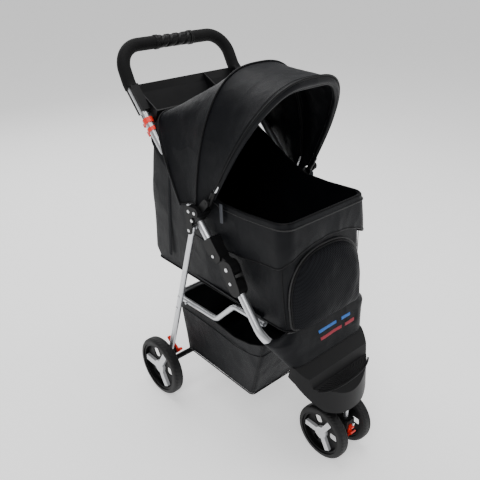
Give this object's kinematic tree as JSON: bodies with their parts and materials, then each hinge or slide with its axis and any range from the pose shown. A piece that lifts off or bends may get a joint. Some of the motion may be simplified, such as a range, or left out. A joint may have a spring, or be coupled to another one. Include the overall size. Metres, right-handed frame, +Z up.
{
  "type": "pet stroller",
  "caption": "Three-wheeled folding pet stroller with a soft cabin, arched canopy, parent tray, storage basket and swivel front caster.",
  "frame": {"origin": "on the floor, at the middle of the bounding box", "axes": "+Z up, the front faces -Y and the handle is at +Y, X across"},
  "size_m": [0.4648, 0.747, 1],
  "materials": {
    "tube": "satin",
    "black_plastic": "satin",
    "grey_plastic": "satin",
    "foam": "matte",
    "red_plastic": "gloss",
    "steel": "satin",
    "tyre": "matte",
    "silver_plastic": "satin",
    "cloth": "woven polyester",
    "mesh": "open mesh",
    "board": "matte"
  },
  "bodies": {
    "lower_frame": {"lower_tube_left": "tube", "lower_tube_right": "tube", "fold_housing_left": "black_plastic", "fold_housing_right": "black_plastic", "fold_pins": "steel", "lower_rivets": "steel", "nose_shell": "grey_plastic", "caster_socket": "black_plastic", "front_apron": "cloth"},
    "window": {"window_flap": "mesh"},
    "upper_frame": {"front_bow_hubs": "black_plastic", "handle_tube": "tube", "foam_grip_left": "foam", "foam_grip_right": "foam", "centre_grip": "black_plastic", "parent_tray": "grey_plastic", "tray_clamps": "black_plastic", "fold_knuckle_left": "black_plastic", "fold_knuckle_right": "black_plastic", "leg_bracket_left": "black_plastic", "leg_bracket_right": "black_plastic", "upper_rivets": "steel", "catch_tabs": "red_plastic", "canopy_rear": "cloth"},
    "rear_legs": {"rear_leg_left": "tube", "rear_leg_right": "tube", "leg_foot_left": "black_plastic", "leg_foot_right": "black_plastic", "leg_studs": "steel", "rear_axle": "steel", "axle_tube": "black_plastic"},
    "seat_frame": {"seat_tube": "tube", "cabin_board": "board", "storage_basket": "cloth", "cabin_shell": "cloth"},
    "front_bow_frame": {"front_bow": "tube", "front_bow_sockets": "black_plastic", "canopy_front": "cloth"},
    "mid_bow_frame": {"mid_bow": "steel", "mid_bow_hubs": "black_plastic"},
    "caster": {"caster_fork": "black_plastic", "caster_stem": "tube", "front_axle": "steel"},
    "swivel_lock": {"swivel_lever": "red_plastic"},
    "catch_left_slider": {"catch_left": "red_plastic"},
    "rear_wheel_left": {"rear_tyre_left": "tyre", "rear_rim_left": "black_plastic", "rear_star_left": "silver_plastic"},
    "front_wheel_left": {"front_tyre_left": "tyre", "front_rim_left": "black_plastic", "front_star_left": "silver_plastic"},
    "brake_left": {"brake_pedal_left": "red_plastic"},
    "catch_right_slider": {"catch_right": "red_plastic"},
    "rear_wheel_right": {"rear_tyre_right": "tyre", "rear_rim_right": "black_plastic", "rear_star_right": "silver_plastic"},
    "front_wheel_right": {"front_tyre_right": "tyre", "front_rim_right": "black_plastic", "front_star_right": "silver_plastic"},
    "brake_right": {"brake_pedal_right": "red_plastic"}
  },
  "joints": [
    {"name": "frame_fold", "type": "hinge", "parent": "lower_frame", "child": "upper_frame", "pos_m": [0, -0.079, 0.527], "axis": [1, 0, 0], "range_deg": [0, 145], "deforming": ["cabin_shell", "storage_basket", "window_flap"]},
    {"name": "leg_fold", "type": "hinge", "parent": "upper_frame", "child": "rear_legs", "pos_m": [0, 0.046, 0.59], "axis": [1, 0, 0], "range_deg": [-57.56, 0]},
    {"name": "seat_fold", "type": "hinge", "parent": "lower_frame", "child": "seat_frame", "pos_m": [0, -0.17, 0.406], "axis": [1, 0, 0], "range_deg": [0, 59]},
    {"name": "mid_bow_turn", "type": "hinge", "parent": "upper_frame", "child": "mid_bow_frame", "pos_m": [0, 0.034, 0.642], "axis": [1, 0, 0], "range_deg": [-36.1, 0], "deforming": ["canopy_rear"]},
    {"name": "canopy_close", "type": "hinge", "parent": "mid_bow_frame", "child": "front_bow_frame", "pos_m": [0, -0.006, 0.676], "axis": [1, 0, 0], "range_deg": [-24, 0], "deforming": ["canopy_front"]},
    {"name": "window_open", "type": "hinge", "parent": "seat_frame", "child": "window", "pos_m": [0, -0.2346, 0.396], "axis": [-1, 0, 0], "range_deg": [-88, 0]},
    {"name": "caster_swivel", "type": "hinge", "parent": "lower_frame", "child": "caster", "pos_m": [0, -0.33, 0.155], "axis": [0, 0, 1], "continuous": true},
    {"name": "swivel_lock_flip", "type": "hinge", "parent": "caster", "child": "swivel_lock", "pos_m": [0, -0.3475, 0.1], "axis": [1, 0, 0], "range_deg": [-20, 0]},
    {"name": "catch_left_pull", "type": "slide", "parent": "upper_frame", "child": "catch_left_slider", "axis": [0, 0.6866, 0.727], "range_m": [0, 0.017]},
    {"name": "rear_wheel_left_spin", "type": "hinge", "parent": "rear_legs", "child": "rear_wheel_left", "pos_m": [0, 0.191, 0.089], "axis": [1, 0, 0], "continuous": true},
    {"name": "front_wheel_left_spin", "type": "hinge", "parent": "caster", "child": "front_wheel_left", "pos_m": [0, -0.297, 0.076], "axis": [1, 0, 0], "continuous": true},
    {"name": "brake_left_press", "type": "hinge", "parent": "rear_legs", "child": "brake_left", "pos_m": [0, 0.168, 0.136], "axis": [1, 0, 0], "range_deg": [0, 18]},
    {"name": "catch_right_pull", "type": "slide", "parent": "upper_frame", "child": "catch_right_slider", "axis": [0, 0.6866, 0.727], "range_m": [0, 0.017]},
    {"name": "rear_wheel_right_spin", "type": "hinge", "parent": "rear_legs", "child": "rear_wheel_right", "pos_m": [0, 0.191, 0.089], "axis": [1, 0, 0], "continuous": true},
    {"name": "front_wheel_right_spin", "type": "hinge", "parent": "caster", "child": "front_wheel_right", "pos_m": [0, -0.297, 0.076], "axis": [1, 0, 0], "continuous": true},
    {"name": "brake_right_press", "type": "hinge", "parent": "rear_legs", "child": "brake_right", "pos_m": [0, 0.168, 0.136], "axis": [1, 0, 0], "range_deg": [0, 18]}
  ],
  "couplings": [
    {"joint": "leg_fold", "follows": "frame_fold", "ratio": -0.3963},
    {"joint": "seat_fold", "follows": "frame_fold", "ratio": 0.4062},
    {"joint": "mid_bow_turn", "follows": "frame_fold", "ratio": -0.24828}
  ]
}
